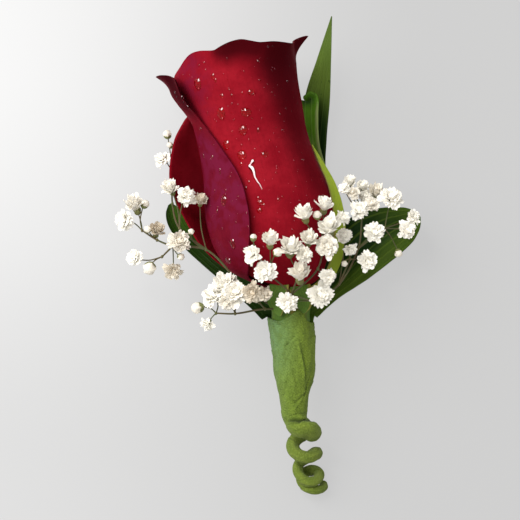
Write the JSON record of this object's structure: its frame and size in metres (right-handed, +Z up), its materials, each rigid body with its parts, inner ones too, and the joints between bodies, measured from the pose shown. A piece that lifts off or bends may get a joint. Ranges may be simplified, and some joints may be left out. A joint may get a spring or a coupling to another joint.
{
  "type": "boutonniere",
  "caption": "Rose boutonniere lying on its back: a red rose bud with long leaves and sprays of baby's breath, bound with green stem tape that ends in a curl.",
  "frame": {"origin": "on the surface it lies on, under the middle of the whole", "axes": "+Y along the boutonniere from the curl to the bud's rim, +Z up off the surface, out of its front, +X to the right as seen from the front"},
  "size_m": [0.0742, 0.1144, 0.0345],
  "materials": {
    "petal": "velvety",
    "calyx": "satin",
    "leaf": "satin",
    "floret": "matte",
    "tape": "matte",
    "wire": "satin"
  },
  "bodies": {
    "root": {"rose_bloom": "petal", "rose_stem": "calyx", "leaf_tall": "leaf", "leaf_folded": "leaf", "leaf_right": "leaf", "leaf_left": "leaf", "spray_left": "floret", "spray_low": "floret", "spray_centre": "floret", "spray_right": "floret", "stem_tape": "tape", "florist_wire": "wire"}
  },
  "joints": []
}
